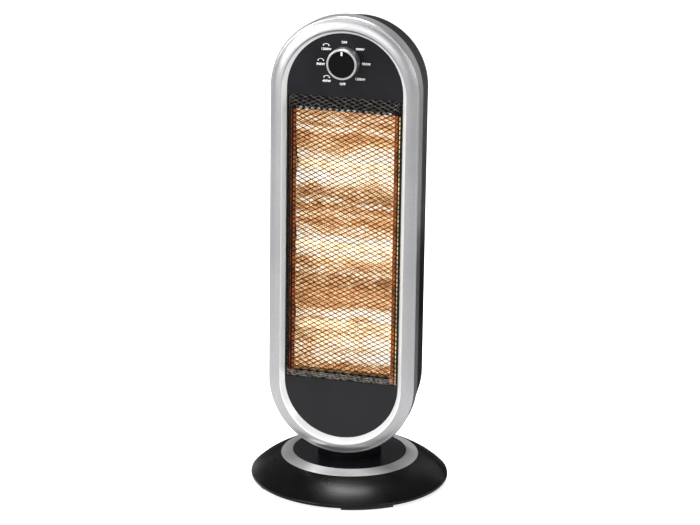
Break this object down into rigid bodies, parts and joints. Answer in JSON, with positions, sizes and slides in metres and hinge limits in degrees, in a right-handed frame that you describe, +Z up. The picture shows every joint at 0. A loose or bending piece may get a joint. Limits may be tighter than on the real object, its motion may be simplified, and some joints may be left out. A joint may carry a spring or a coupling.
{
  "type": "halogen heater",
  "caption": "Upright oscillating halogen heater: racetrack head with a mesh-guarded glowing window, rotary knob and silver bezel, on a round domed swivel base.",
  "frame": {"origin": "on the floor under the vertical axis that the head turns about", "axes": "+Z up, the grille faces -Y, +X to the right seen from the front"},
  "size_m": [0.23, 0.23, 0.5575],
  "materials": {
    "silver_plastic": "satin silver paint",
    "black_satin": "fine satin",
    "black_gloss": "gloss",
    "guard_black": "baked black enamel",
    "reflector_metal": "bright rolled",
    "sheet_steel": "zinc plated",
    "quartz": "clear",
    "filament": "glowing coil",
    "ceramic": "matt",
    "screw_steel": "zinc plated",
    "natural_nylon": "moulded",
    "white_mark": "moulded",
    "dark_resin": "moulded",
    "soft_rubber": "matt",
    "lead_sleeve": "silicone-glass sleeve"
  },
  "bodies": {
    "base": {"base_cover": "black_satin", "trim_ring": "silver_plastic", "deck_disc": "black_gloss", "bearing_ring": "natural_nylon", "base_plate": "sheet_steel", "foot_pads": "soft_rubber", "base_screws": "screw_steel", "swing_motor": "sheet_steel", "motor_screws": "screw_steel", "tip_switch": "dark_resin", "plunger_guide": "dark_resin", "plunger_spring": "screw_steel", "cord_gland": "soft_rubber", "mains_terminal": "natural_nylon"},
    "head": {"front_bezel": "silver_plastic", "rear_shell": "black_satin", "neck": "black_satin", "front_panel": "black_gloss", "mesh_guard": "guard_black", "reflector": "reflector_metal", "lamp_frame": "sheet_steel", "heat_shield": "sheet_steel", "lamp_clips": "sheet_steel", "quartz_tube_upper": "quartz", "quartz_tube_middle": "quartz", "quartz_tube_lower": "quartz", "filament_upper": "filament", "filament_middle": "filament", "filament_lower": "filament", "ceramic_caps": "ceramic", "shell_screws": "screw_steel", "bezel_screws": "screw_steel", "frame_screws": "screw_steel", "neck_screws": "screw_steel", "pivot_screws": "screw_steel", "sector_screws": "screw_steel", "switch_nut": "screw_steel", "pivot_tube": "natural_nylon", "swing_sector": "natural_nylon", "rotary_switch": "dark_resin", "thermal_cutout": "dark_resin", "switch_leads": "lead_sleeve"},
    "knob": {"knob": "black_gloss", "knob_rim": "silver_plastic", "knob_pointer": "white_mark", "switch_shaft": "screw_steel"},
    "pinion": {"drive_pinion": "natural_nylon", "motor_shaft": "screw_steel"},
    "plunger": {"tip_plunger": "natural_nylon"}
  },
  "joints": [
    {"name": "head_swing", "type": "hinge", "parent": "base", "child": "head", "pos_m": [0, 0, 0.0335], "axis": [0, 0, 1], "range_deg": [-35, 35]},
    {"name": "pinion_spin", "type": "hinge", "parent": "base", "child": "pinion", "pos_m": [0, 0.048, 0.0075], "axis": [0, 0, 1], "range_deg": [-126, 126]},
    {"name": "knob_turn", "type": "hinge", "parent": "head", "child": "knob", "pos_m": [0, -0.05, 0.50645], "axis": [0, -1, 0], "continuous": true},
    {"name": "tip_plunge", "type": "slide", "parent": "base", "child": "plunger", "axis": [0, 0, 1], "range_m": [-0.004, 0], "stiffness_N_per_m": 150, "springref_m": -0.006, "deforming": ["plunger_spring"]}
  ],
  "couplings": [
    {"joint": "pinion_spin", "follows": "head_swing", "ratio": -3.5714}
  ]
}
